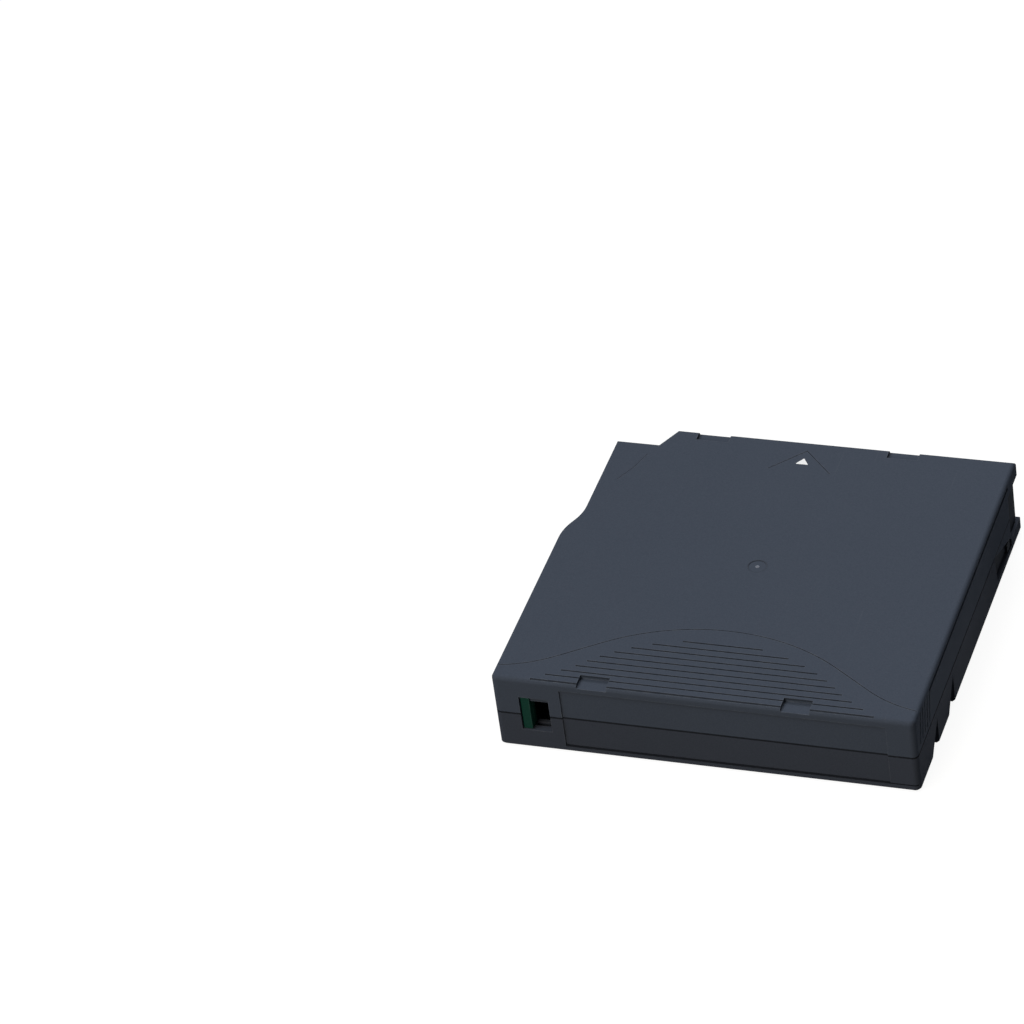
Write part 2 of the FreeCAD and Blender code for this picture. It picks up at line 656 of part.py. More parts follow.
# ---------------------------------------------------------------- brake and release
def build_brake_button():
    """A toothed disc that the spring presses into the hub, keyed to the upper shell."""
    body = turned("brake_button", [[
        ("0", "brake_low"), ("brake_radius", "brake_low"), ("brake_radius", "brake_plate"),
        ("0", "brake_plate")]])
    post = sketch(body, "key_post", height="brake_plate - 0.2")
    octagon(post, "0", "0", "post_radius")
    pad(body, post, "post_top - brake_plate + 0.2")
    tooth = face_tooth(body, "brake_tooth", "brake_teeth", "brake_low",
                       "brake_low - brake_tooth", "brake_in", "brake_out")
    polar(body, tooth, int(size("brake_teeth")))
    wide, long = "(key_width / 2 + key_gap)", "(key_length / 2 + key_gap)"
    # the teeth mesh half a pitch away from the hub's, but the slot stays square to the case
    half_pitch = 180 / size("brake_teeth")
    slot = sketch(body, "key_slot")
    slot.AttachmentOffset = Placement(Vector(), Rotation(Vector(0, 0, 1), -half_pitch))
    slot.setExpression("AttachmentOffset.Base.z", bound("post_top"))
    polygon(slot, [
        (f"-{long}", f"-{wide}"), (f"-{wide}", f"-{wide}"), (f"-{wide}", f"-{long}"),
        (wide, f"-{long}"), (wide, f"-{wide}"), (long, f"-{wide}"), (long, wide),
        (wide, wide), (wide, long), (f"-{wide}", long), (f"-{wide}", wide), (f"-{long}", wide)])
    pocket(body, slot, "post_top - key_slot_low")
    body.Placement = Placement(Vector(), Rotation(Vector(0, 0, 1), half_pitch))
    return body


def build_release_pad():
    """A three-cornered plate on the hub floor whose legs reach down through the gear."""
    body = new_body("release_pad")
    corner = "(leg_circle + 3.9)"
    plate = sketch(body, "pad_plate", height="pad_low")
    corners = [(f"{corner} * {math.cos(math.radians(degrees)):.6f}",
                f"{corner} * {math.sin(math.radians(degrees)):.6f}") for degrees in LEG_ANGLES]
    polygon(plate, corners)
    pad(body, plate, "pad_high - pad_low")
    for number, (x, y) in enumerate(corners):
        round_edges(body, f"pad_corner_{number}", upright_at(x, y), "1.95")
    legs = sketch(body, "pad_legs", height="pad_low")
    for degrees in LEG_ANGLES:
        square_at(legs, degrees, "leg_circle", "leg_half")
    pad(body, legs, "pad_low - drive_tip", reverse=True)
    dome = sketch(body, "pad_dome", height="pad_high")
    octagon(dome, "0", "0", "2.2")
    pad(body, dome, "brake_low - 0.05 - pad_high")
    return body


def coil(label, radius, wire, length, turns, steps, sides, placement):
    """A round-wire coil spring standing on the XY plane, lofted turn by turn."""
    rise = (length - 2 * wire) / turns
    lead = math.atan2(rise, 2 * math.pi * radius)
    rings = []
    for step in range(round(turns * steps) + 1):
        around = 2 * math.pi * step / steps
        outward = Vector(math.cos(around), math.sin(around), 0)
        upward = Vector(math.sin(around) * math.sin(lead), -math.cos(around) * math.sin(lead),
                        math.cos(lead))
        centre = outward * radius + Vector(0, 0, wire + rise * step / steps)
        corners = []
        for side in range(sides):
            turn = 2 * math.pi * side / sides
            corners.append(centre + (outward * math.cos(turn) + upward * math.sin(turn)) * wire)
        rings.append(Part.makePolygon(corners + corners[:1]))
    feature = part_feature(label, Part.makeLoft(rings, True, True))
    feature.Placement = placement
    return feature


def build_brake_spring():
    low = size("brake_plate + 0.05")
    length = size("case_height - wall - 0.05") - low
    return coil("brake_spring", size("brake_coil"), size("brake_wire"), length,
                size("brake_turns"), 12, 4, Placement(Vector(0, 0, low), Rotation()))


# ---------------------------------------------------------------- access door and slider
def build_access_door():
    body = new_body("access_door")
    plate = sketch(body, "door_plate", "YZ_Plane", height="door_inner")
    rectangle(plate, "door_rear", "door_low", "door_front", "door_high")
    pad(body, plate, "door_outer - door_inner")
    nose = sketch(body, "door_nose", "YZ_Plane", height="door_inner")
    rectangle(nose, "door_front - 0.5", "lip_low + 0.3", "door_tip", "lip_high - 0.6")
    pad(body, nose, "door_outer - door_inner")
    lug = sketch(body, "door_lug", "YZ_Plane", height="door_outer - 0.2")
    rectangle(lug, "38.6", "2.3", "41.0", "4.9")
    pad(body, lug, "0.9")
    tab = sketch(body, "spring_tab", "YZ_Plane", height="46.7")
    rectangle(tab, "35.0", "8.2", "36.2", "13.0")
    pad(body, tab, "door_inner - 46.7 + 0.2")
    peg = sketch(body, "tab_peg", "XZ_Plane", height="-35.0 - 0.2")
    rectangle(peg, "47.65", "9.95", "48.95", "11.25")
    pad(body, peg, "3.2")
    tip, outer = size("door_tip"), size("door_outer")
    round_edges(body, "nose_round", lambda p: abs(p.y - tip) < 0.01 and abs(p.x - outer) < 0.01,
                "0.6")
    return body


def build_door_spring():
    length = size("35.0 - 0.05") - 15.15
    place = Placement(Vector(48.3, 15.15, 10.6), Rotation(Vector(1, 0, 0), -90))
    return coil("door_spring", 1.35, 0.2, length, 5, 16, 3, place)


def build_slider():
    """The write-protect slider: a flat plate with a thumb tab in the window."""
    body = new_body("write_protect_slider")
    add_block(body, "slider_plate", "4.4", "15.9", box_corners("-50.7", "-48.95", "-43.6", "-47.4"))
    add_block(body, "slider_stem", "6.0", "14.0", box_corners("-46.0", "-50.3", "-43.7", "-48.8"))
    add_block(body, "slider_tab", "6.0", "15.6", box_corners("-46.0", "-50.7", "-43.7", "-50.1"))
    round_edges(body, "tab_round",
                lambda p: abs(p.y + 50.7) < 0.01 and abs(p.x + 46.0) < 0.01, "0.4")
    return body


# ---------------------------------------------------------------- leader pin and memory
def mirrored_profile(steps, low, high):
    """A turned outline, the same from both ends, from (height above low, radius) steps."""
    rising = [(str(radius), f"{low} + {height}") for height, radius in steps]
    falling = [(str(radius), f"{high} - {height}") for height, radius in reversed(steps)]
    return [("0", low)] + rising + falling + [("0", high)]


def build_leader_pin():
    """A turned steel pin, with a head at each end that the drive's grabber takes."""
    steps = [(0, 2.0), (1.3, 2.0), (1.3, 1.2)]
    body = turned("leader_pin", [mirrored_profile(steps, "pin_low", "pin_high")])
    body.Placement = Placement(Vector(size("pin_x"), size("pin_y"), 0), Rotation())
    return body


def build_pin_clip():
    """A plastic sleeve, open along one side, that clamps the tape round the pin."""
    body = new_body("leader_pin_clip")
    ring = sketch(body, "clip_ring", height="4.3")
    circle(ring, "0", "0", "2.0")
    circle(ring, "0", "0", "1.25")
    pad(body, ring, "12.35")
    cut_box(body, "clip_mouth", "4.0", "17.0",
            [("-0.2", "0"), ("-3.0", "-1.9"), ("-3.0", "1.9")])
    body.Placement = Placement(Vector(size("pin_x"), size("pin_y"), 0),
                               Rotation(Vector(0, 0, 1), -3))
    return body


def build_pin_spring():
    """A folded steel strip: a back on the front wall and two arms that hold the pin."""
    arm = Part.makePolygon([Vector(40.8, 48.75, 0), Vector(46.9, 48.75, 0),
                            Vector(48.1, 46.6, 0), Vector(47.5, 45.2, 0), Vector(48.3, 44.0, 0)])
    ribbon = arm.makeOffset2D(0.14, 2, True, True)
    back = Part.makeBox(1.6, 0.28, 16.2, Vector(40.8, 48.61, 2.4))
    strips = [ribbon.copy() for _ in range(2)]
    for strip, low in zip(strips, (2.4, 17.75)):
        strip.translate(Vector(0, 0, low))
    arms = [strip.extrude(Vector(0, 0, 0.85)) for strip in strips]
    return part_feature("pin_retaining_spring", back.fuse(arms).removeSplitter())


def build_leader_tape():
    """The free run of leader tape from the wound pack to the pin."""
    radius = size("pack_radius") + 0.1
    pin = Vector(size("pin_x"), size("pin_y"), 0)
    lean = math.acos(radius / pin.Length) + math.atan2(pin.y, pin.x)
    start = Vector(radius * math.cos(lean), radius * math.sin(lean), 0)
    run = pin - start
    tape = Part.makeBox(run.Length - 1.35, 0.1, size("tape_high - tape_low"),
                        Vector(0, -0.05, 0))
    feature = part_feature("leader_tape", tape)
    start.z = size("tape_low")
    feature.Placement = Placement(start, Rotation(Vector(1, 0, 0), run))
    return feature


def build_memory():
    """The memory board, tilted so that it faces down and to the rear, and its chip."""
    tilt = Rotation(Vector(1, 0, 0), -45)
    foot = Vector(32.2, -49.0, 9.3)
    board = new_body("memory_board")
    add_block(board, "board_plate", "0", "0.8", box_corners("0", "0.3", "15.2", "8.6"))
    board.Placement = Placement(foot, tilt)
    chip = new_body("memory_chip")
    add_block(chip, "chip_block", "0.8", "1.6", box_corners("5.4", "2.4", "9.8", "6.4"))
    chip.Placement = Placement(foot, tilt)
    return [board, chip]


def build_screws():
    """Four pan-head screws as one group of separate solids."""
    screws = []
    for x, y in SCREWS:
        head = Part.makeCylinder(size("screw_head"), size("screw_head_high - screw_head_low"),
                                 Vector(x, y, size("screw_head_low")))
        reach = size("screw_shank") / math.cos(math.pi / 8)
        corners = [Vector(x + reach * math.cos(math.radians(45 * turn + 22.5)),
                          y + reach * math.sin(math.radians(45 * turn + 22.5)),
                          size("screw_head_high")) for turn in range(8)]
        shank = Part.Face(Part.makePolygon(corners + corners[:1])).extrude(
            Vector(0, 0, size("screw_top - screw_head_high")))
        screws.append(head.fuse(shank).removeSplitter())
    return part_feature("case_screws", Part.Compound(screws))


# ---------------------------------------------------------------- build, check and write
def build_all():
    return [build_lower_shell(), build_upper_shell(), build_screws(), build_reel_hub(),
            build_hub_ring(), build_drive_plate(), build_upper_flange(), build_tape_pack(),
            build_brake_button(), build_brake_spring(), build_release_pad(),
            build_access_door(), build_door_spring(), build_slider(), build_leader_pin(),
            build_pin_clip(), build_pin_spring(), build_leader_tape(), *build_memory()]


def check_and_write(pieces):
    doc.recompute()
    failed = [o.Name for o in doc.Objects if {"Invalid", "Error"} & set(o.State)]
    if failed:
        raise RuntimeError(f"features failed: {failed}")
    os.makedirs("parts", exist_ok=True)
    for piece in pieces:
        shape = piece.Shape
        if shape.isNull() or not shape.isValid():
            raise RuntimeError(f"{piece.Label} has no valid shape")
        shape.exportStep(os.path.join("parts", piece.Label + ".step"))
        print(f"{piece.Label}: {len(shape.Solids)} solid, {shape.Volume:.0f} mm3")


check_and_write(build_all())
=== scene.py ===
# %% [markdown]
# # Dressing a data tape cartridge
#
# The solids of the cartridge come ready made, as the fixed frame: a flat moulded case with a reel,
# a sliding door, a brake and a steel pin inside. This lesson gives each of them its finish. It makes
# again the two coil springs, the leader pin and the screws, which the frame holds in a plain form,
# and adds what the frame leaves out: the melted heads of three pegs, the nub that the moulding gate
# left, and the printed arrow that shows which end goes into the drive. All lengths are in metres
# unless a comment says mm.

# %% Load the frame
import json
import math

import bpy
import numpy as np
from mathutils import Matrix, Vector


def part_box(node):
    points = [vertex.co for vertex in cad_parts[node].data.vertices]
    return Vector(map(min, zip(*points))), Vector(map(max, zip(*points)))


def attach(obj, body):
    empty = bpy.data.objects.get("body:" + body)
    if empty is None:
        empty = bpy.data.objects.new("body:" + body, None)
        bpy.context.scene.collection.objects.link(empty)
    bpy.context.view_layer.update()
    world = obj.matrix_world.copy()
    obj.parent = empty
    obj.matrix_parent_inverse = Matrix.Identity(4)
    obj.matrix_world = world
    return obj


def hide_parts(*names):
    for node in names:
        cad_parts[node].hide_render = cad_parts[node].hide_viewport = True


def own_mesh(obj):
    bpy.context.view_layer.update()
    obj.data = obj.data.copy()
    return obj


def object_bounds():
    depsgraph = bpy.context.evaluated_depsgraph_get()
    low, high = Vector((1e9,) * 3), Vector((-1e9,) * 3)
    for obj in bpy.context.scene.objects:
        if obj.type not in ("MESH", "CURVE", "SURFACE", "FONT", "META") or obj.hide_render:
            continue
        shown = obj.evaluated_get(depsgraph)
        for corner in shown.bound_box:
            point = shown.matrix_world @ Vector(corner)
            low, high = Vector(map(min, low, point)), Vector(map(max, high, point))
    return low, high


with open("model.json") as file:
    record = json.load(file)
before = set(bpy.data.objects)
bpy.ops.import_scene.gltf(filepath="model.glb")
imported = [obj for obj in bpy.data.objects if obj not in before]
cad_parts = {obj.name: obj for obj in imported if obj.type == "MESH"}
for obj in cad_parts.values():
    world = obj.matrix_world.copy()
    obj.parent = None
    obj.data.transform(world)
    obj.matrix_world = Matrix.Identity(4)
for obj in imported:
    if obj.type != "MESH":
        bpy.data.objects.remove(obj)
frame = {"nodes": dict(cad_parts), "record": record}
CAD_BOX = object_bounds()
MM = 0.001

# %% [markdown]
# ## The camera
#
# A flat case shows best from far away through a long lens, so that its long edges stay nearly
# parallel. The camera stands to the right of the label end, looks down at about 37 degrees, and
# leans over a little. It is set by a point and two directions, its right and its up, because a lean
# is awkward to say with angles alone. The third direction follows from those two. The alternative,
# a Track To constraint on an empty, would keep the camera level.

# %% Make the camera
CAMERA_PLACE = Vector((0.3524, -0.9813, 0.8430))
CAMERA_RIGHT = Vector((0.94599, 0.30196, -0.11802))
CAMERA_UP = Vector((-0.09658, 0.60999, 0.78650))
CAMERA_LENS = 190.6     # mm, on a sensor 36 mm wide

camera_data = bpy.data.cameras.new("studio_camera")
camera_data.lens = CAMERA_LENS
camera_data.sensor_width = 36.0
camera_data.clip_end = 20.0
camera = bpy.data.objects.new("studio_camera", camera_data)
bpy.context.scene.collection.objects.link(camera)
backward = CAMERA_RIGHT.cross(CAMERA_UP).normalized()
turn = Matrix((CAMERA_RIGHT, CAMERA_UP, backward)).transposed()
camera.matrix_world = Matrix.Translation(CAMERA_PLACE) @ turn.to_4x4()
bpy.context.scene.camera = camera
bpy.context.scene.view_settings.view_transform = "Standard"
print("camera distance:", round(CAMERA_PLACE.length, 3))

# %% [markdown]
# ## Building node trees in code
#
# Every finish below is a tree of nodes. A few short helpers keep that readable: one adds a node and
# sets its sockets by name, and others do a sum, stretch a range or blend two colours. Then one
# starts a node group, which is an effect with named inputs and outputs that many materials share,
# and one starts a material with a Principled shader.


# %% Helpers for nodes
def add(tree, kind, **settings):
    """Adds a node. A setting with a socket's name, or in0, in1 and so on for the first sockets,
    feeds that socket from another one or a constant. Any other is one of the node's options."""
    node = tree.nodes.new("ShaderNode" + kind)
    for name, value in settings.items():
        numbered = name.startswith("in") and name[2:].isdigit()
        socket = node.inputs[int(name[2:])] if numbered else node.inputs.get(name)
        if socket is None:
            setattr(node, name, value)
        elif isinstance(value, bpy.types.NodeSocket):
            tree.links.new(value, socket)
        else:
            socket.default_value = value
    return node


def maths(tree, operation, first, second=0.5, clamp=False):
    """One sum on numbers or sockets, as a Math node."""
    return add(tree, "Math", operation=operation, use_clamp=clamp, in0=first, in1=second).outputs[0]


def spread(tree, value, from_low, from_high, to_low, to_high):
    """Stretches a value from one range to another, as a Map Range node, and clamps it."""
    node = add(tree, "MapRange", in0=value, in1=from_low, in2=from_high, in3=to_low, in4=to_high)
    return node.outputs[0]


def mix_colour(tree, share, first, second):
    """Blends two colours by a share from 0 to 1."""
    node = add(tree, "Mix", data_type="RGBA")
    for socket, value in ((node.inputs[0], share), (node.inputs[6], first),
                          (node.inputs[7], second)):
        if isinstance(value, bpy.types.NodeSocket):
            tree.links.new(value, socket)
        else:
            socket.default_value = value
    return node.outputs[2]


def place_on(tree):
    """The Object coordinates socket: metres, fixed to the piece."""
    return add(tree, "TexCoord").outputs["Object"]


# %% Helpers for groups and materials
def start_group(name, inputs, outputs):
    """A node group with named inputs (title, default) and outputs (title, socket kind)."""
    tree = bpy.data.node_groups.new(name, "ShaderNodeTree")
    for title, default in inputs:
        socket = tree.interface.new_socket(title, in_out="INPUT", socket_type="NodeSocketFloat")
        socket.default_value = default
    for title, kind in outputs:
        tree.interface.new_socket(title, in_out="OUTPUT", socket_type="NodeSocket" + kind)
    return tree, tree.nodes.new("NodeGroupInput").outputs, tree.nodes.new("NodeGroupOutput").inputs


def use(tree, group, **settings):
    """Places a node group in a material with its own values, and returns its outputs."""
    node = tree.nodes.new("ShaderNodeGroup")
    node.node_tree = group
    for name, value in settings.items():
        node.inputs[name.replace("_", " ")].default_value = value
    return node.outputs


def linear(red, green, blue):
    """An sRGB colour in 0 to 255, as the linear colour that a shader works with."""
    def channel(value):
        value /= 255
        return value / 12.92 if value <= 0.04045 else ((value + 0.055) / 1.055) ** 2.4
    return channel(red), channel(green), channel(blue), 1.0


def start_material(name, **constants):
    """A material with one Principled shader, whose constant sockets are set directly."""
    material = bpy.data.materials.new(name)
    material.use_nodes = True
    shader = material.node_tree.nodes["Principled BSDF"]
    for title, value in constants.items():
        shader.inputs[title.replace("_", " ")].default_value = value
    return material, material.node_tree, shader.inputs


def raise_bumps(tree, inputs, height, distance, strength=1.0):
    """Feeds a height, 0 to 1, to the shader's normal as bumps of that distance in metres."""
    bump = add(tree, "Bump", Height=height, Distance=distance, Strength=strength)
    tree.links.new(bump.outputs["Normal"], inputs["Normal"])


print("helpers ready")

# %% [markdown]
# ## Shared effects
#
# **Spark-eroded grain.** The mould's outer faces are roughened by sparks, which leaves fine rounded
# pits in every plastic part that comes out of it. Two sizes of noise, added, give that skin. It
# breaks up reflections, so it also makes the surface look satin without any paint.

# %% Group: spark-eroded grain
def make_grain():
    """Height is fine noise plus half as much of a noise about three times as coarse. Tone is the
    fine noise alone."""
    tree, given, result = start_group(
        "spark_grain", [("Pits per metre", 3000.0)], [("Height", "Float"), ("Tone", "Float")])
    place = place_on(tree)
    fine = add(tree, "TexNoise", Vector=place, Scale=given["Pits per metre"], Detail=3.0,
               Roughness=0.6)
    coarse_scale = maths(tree, "MULTIPLY", given["Pits per metre"], 0.37)
    coarse = add(tree, "TexNoise", Vector=place, Scale=coarse_scale, Detail=2.0)
    both = maths(tree, "MULTIPLY_ADD", coarse.outputs["Fac"], 0.5)
    tree.links.new(fine.outputs["Fac"], both.node.inputs[2])
    tree.links.new(spread(tree, both, 0.45, 1.05, 0.0, 1.0), result["Height"])
    tree.links.new(spread(tree, fine.outputs["Fac"], 0.3, 0.7, 0.0, 1.0), result["Tone"])
    return tree


GRAIN = make_grain()
print("group:", GRAIN.name)

# %% [markdown]
# **Handling.** Fingers polish a moulding in broad soft patches, and a drive's loader leaves a few
# hairlines along the way it travels. The patches are slow noise. The hairlines are noise squeezed
# across their length, cut off so that only the peaks stay.

# %% Group: handling marks
def make_handling():
    """Slow patches of polish, and long thin hairlines where the patches are strong."""
    tree, given, result = start_group(
        "handling", [("Patches per metre", 28.0)], [("Polish", "Float"), ("Hairlines", "Float")])
    place = place_on(tree)
    patches = add(tree, "TexNoise", Vector=place, Scale=given["Patches per metre"], Detail=3.0,
                  Roughness=0.55)
    along = add(tree, "Mapping", Vector=place, Scale=(1.0, 0.02, 1.0),
                Rotation=(0.0, 0.0, math.radians(3.0)))
    lines = add(tree, "TexNoise", Vector=along.outputs[0], Scale=1900.0, Detail=1.0)
    kept = spread(tree, lines.outputs["Fac"], 0.70, 0.80, 0.0, 1.0)
    where = spread(tree, patches.outputs["Fac"], 0.50, 0.65, 0.0, 1.0)
    tree.links.new(spread(tree, patches.outputs["Fac"], 0.35, 0.68, 0.0, 1.0), result["Polish"])
    tree.links.new(maths(tree, "MULTIPLY", kept, where), result["Hairlines"])
    return tree


HANDLING = make_handling()
print("group:", HANDLING.name)

# %% [markdown]
# ** Edge wear and highlight.** Corners are rubbed first, and they catch the light, so their lighter
# tone is partly wear and partly a painted highlight. The Bevel node returns the normal that the
# surface would have with rounded corners, so where it differs from the true normal there is a corner
# nearby. This needs no dense mesh, unlike Pointiness, and the frame's meshes are light.

# %% Group: edge wear and painted edge highlight
def make_edge_wear_and_highlight():
    """A broken mask where the rounded normal turns away from the true one."""
    tree, given, result = start_group(
        "edge_wear_and_highlight", [("Radius", 0.0004)], [("Mask", "Float")])
    rounded = add(tree, "Bevel", samples=4, Radius=given["Radius"])
    true = add(tree, "NewGeometry").outputs["Normal"]
    likeness = add(tree, "VectorMath", operation="DOT_PRODUCT", in0=rounded.outputs[0], in1=true)
    corner = spread(tree, likeness.outputs["Value"], 0.98, 0.80, 0.0, 1.0)
    patchy = add(tree, "TexNoise", Vector=place_on(tree), Scale=420.0, Detail=4.0)
    kept = spread(tree, patchy.outputs["Fac"], 0.38, 0.62, 0.25, 1.0)
    tree.links.new(maths(tree, "MULTIPLY", corner, kept), result["Mask"])
    return tree


EDGE_WEAR_AND_HIGHLIGHT = make_edge_wear_and_highlight()
print("group:", EDGE_WEAR_AND_HIGHLIGHT.name)

# %% [markdown]
# **Turned lines.** A steel pin or washer from a lathe, and the edge of wound tape, carry fine rings.
# On a pin they are bands along its length, and on a flat face they are circles, so the group takes
# the distance along which the lines follow each other and puts one-dimensional noise on it.

# %% Group: turned lines
def make_turned_lines():
    """Noise along one distance: fine for the height of the lines, slow for their tone."""
    tree, given, result = start_group(
        "turned_lines", [("Distance", 0.0), ("Lines per metre", 8000.0)],
        [("Height", "Float"), ("Tone", "Float")])
    fine = add(tree, "TexNoise", noise_dimensions="1D", W=maths(
        tree, "MULTIPLY", given["Distance"], given["Lines per metre"]), Scale=1.0, Detail=2.0)
    slow_place = maths(tree, "MULTIPLY", given["Distance"], 260.0)
    slow = add(tree, "TexNoise", noise_dimensions="1D", W=slow_place, Scale=1.0, Detail=3.0)
    tree.links.new(fine.outputs["Fac"], result["Height"])
    tree.links.new(spread(tree, slow.outputs["Fac"], 0.3, 0.7, 0.0, 1.0), result["Tone"])
    return tree


TURNED = make_turned_lines()
print("group:", TURNED.name)


def distance_from(tree, centre, axis):
    """The distance of a surface point from a line through centre along X, Y or Z (0, 1, 2)."""
    moved = add(tree, "VectorMath", operation="SUBTRACT", in0=place_on(tree), in1=centre)
    keep = [1.0, 1.0, 1.0]
    keep[axis] = 0.0
    flat = add(tree, "VectorMath", operation="MULTIPLY", in0=moved.outputs[0], in1=keep)
    length = add(tree, "VectorMath", operation="LENGTH", in0=flat.outputs[0])
    return length.outputs["Value"]


def height_of(tree, axis):
    """One of a surface point's three coordinates."""
    return add(tree, "SeparateXYZ", Vector=place_on(tree)).outputs[axis]


# %% [markdown]
# ** Painted shade and dust.** The parting line, the foot of the label recess, the rim of the gate recess
# and the grooves of the top are too narrow for the lamps to darken, so shade is painted in them,
# with some dust. Each is found by its place on the case, which gives a mask that darkens the tone
# there. A painted texture would do it too, but it needs an unwrapped surface and one more file.

# %% Where shade and dust are painted on the case
PARTING = 10.5 * MM                    # height of the line where the two shells meet
LABEL_CORNER = (-35.6 * MM, 2.0 * MM)  # X and Z of the label recess's lower left corner
LABEL_WALL = -50.5 * MM                # the wall of the label end lies beyond this Y
GATE = (0.0, 0.4 * MM, 21.35 * MM)     # the recess that the moulding gate leaves
GATE_RADIUS = 2.3 * MM
NEAR_TOP = 21.0 * MM                   # the top and its grooves lie above this height
GROOVE_FLOOR = 21.33 * MM              # the floors of the grooves lie below this height
INSIDE_RIM = (51.4 * MM, 50.3 * MM)    # how far the top reaches along X and Y before its rim
SEAM_FADE = (0.20 * MM, 0.32 * MM)     # the parting line fades out between these distances
FOOT_FADE = (0.12 * MM, 0.24 * MM)     # and the label recess's foot between these
RIM_FADE = 0.35 * MM
RIM_SHARE, GROOVE_SHARE = 0.3, 0.55    # how dark the gate's rim and the grooves get
STEEP, LEVEL = 0.5, 0.95               # upward part of the normal, below and above these


def sunk_walls(tree, across, along, up):
    """A mask of the grooves and notch walls in the top: inside the rim, steep or below the face."""
    facing = add(tree, "SeparateXYZ", Vector=add(tree, "NewGeometry").outputs["True Normal"])
    steep = maths(tree, "LESS_THAN", facing.outputs[2], STEEP)
    floor = maths(tree, "MULTIPLY", maths(tree, "GREATER_THAN", facing.outputs[2], LEVEL),
                  maths(tree, "LESS_THAN", up, GROOVE_FLOOR))
    sunk = maths(tree, "MULTIPLY", maths(tree, "MAXIMUM", steep, floor),
                 maths(tree, "GREATER_THAN", up, NEAR_TOP))
    for place, reach in zip((across, along), INSIDE_RIM):
        inside = maths(tree, "LESS_THAN", maths(tree, "ABSOLUTE", place), reach)
        sunk = maths(tree, "MULTIPLY", sunk, inside)
    return sunk


def shade_and_dust_lines(tree):
    """A mask of the parting line, the foot of the label recess, the rim of the gate recess, and
    the grooves and notches of the top: the places where shade and dust are painted."""
    across, along, up = (height_of(tree, axis) for axis in range(3))
    from_seam = maths(tree, "ABSOLUTE", maths(tree, "SUBTRACT", up, PARTING))
    seam = spread(tree, from_seam, *SEAM_FADE, 1.0, 0.0)
    from_foot = maths(tree, "ABSOLUTE", maths(tree, "SUBTRACT", up, LABEL_CORNER[1]))
    foot = spread(tree, from_foot, *FOOT_FADE, 1.0, 0.0)
    foot = maths(tree, "MULTIPLY", foot, maths(tree, "LESS_THAN", along, LABEL_WALL))
    foot = maths(tree, "MULTIPLY", foot, maths(tree, "GREATER_THAN", across, LABEL_CORNER[0]))
    from_rim = maths(tree, "ABSOLUTE", maths(tree, "SUBTRACT", distance_from(tree, GATE, 2),
                                             GATE_RADIUS))
    rim = spread(tree, from_rim, 0.0, RIM_FADE, RIM_SHARE, 0.0)
    rim = maths(tree, "MULTIPLY", rim, maths(tree, "GREATER_THAN", up, NEAR_TOP))
    sunk = maths(tree, "MULTIPLY", sunk_walls(tree, across, along, up), GROOVE_SHARE)
    return maths(tree, "MAXIMUM", maths(tree, "MAXIMUM", seam, foot),
                 maths(tree, "MAXIMUM", rim, sunk))


# The mask darkens the parting line at this height with painted shade, and some dust.
print("dust gathers at the parting line, height", PARTING)

# %% [markdown]
# ## Plastics
#
# All the mouldings are one recipe: a base tone that drifts a little, spark grain, handling marks,
# lighter corners, partly rubbed and partly a painted highlight, and, on the shells, dark lines of
# painted shade and dust. Only numbers differ. The shells are a dark slate blue, and their gloss is
# kept very low: seen at a low angle, a rough skin would otherwise mirror the white surroundings and
# turn grey. The door is near black and the slider a deep bottle green. The reel is a pale grey,
# smoother and a little see-through in life, which a lower roughness suggests without the cost of
# light that scatters inside.

# %% One recipe for moulded plastic
# The colour of the painted shade, with dust, in the seams, grooves and recesses of the shells.
SHADE_AND_DUST = linear(14, 16, 20)
HAIRLINE_SHARE = 0.04


def make_plastic(name, colour, second, rough, pits=3000.0, depth=0.00002, wear_and_highlight=0.25, gloss=0.3,
                 seam=0.0):
    """colour and second are the two ends of the tone's drift. rough is the middle roughness, and
    polished patches are a little smoother. The share seam darkens the seams, grooves and recesses
    with painted shade and some dust."""
    material, tree, shader = start_material(name, Specular_IOR_Level=gloss)
    grain = use(tree, GRAIN, Pits_per_metre=pits)
    marks = use(tree, HANDLING)
    edges = use(tree, EDGE_WEAR_AND_HIGHLIGHT)
    tone = mix_colour(tree, grain["Tone"], linear(*colour), linear(*second))
    # Rubbed plastic and the painted corner highlight are paler: each channel goes two fifths of the
    # way to 240.
    pale = linear(*[channel * 0.6 + 96 for channel in colour])
    # Lighter corners: rubbed wear and a painted highlight.
    skin = mix_colour(tree, maths(tree, "MULTIPLY", edges["Mask"], wear_and_highlight), tone, pale)
    skin = mix_colour(tree, maths(tree, "MULTIPLY", marks["Hairlines"], HAIRLINE_SHARE), skin, pale)
    # Painted shade, with some dust, darkens the seams, grooves and recesses of the shells.
    if seam:
        skin = mix_colour(tree, maths(tree, "MULTIPLY", shade_and_dust_lines(tree), seam), skin, SHADE_AND_DUST)
    tree.links.new(skin, shader["Base Color"])
    tree.links.new(spread(tree, marks["Polish"], 0.0, 1.0, rough + 0.05, rough - 0.07),
                   shader["Roughness"])
    raise_bumps(tree, shader, grain["Height"], depth, 0.8)
    return material


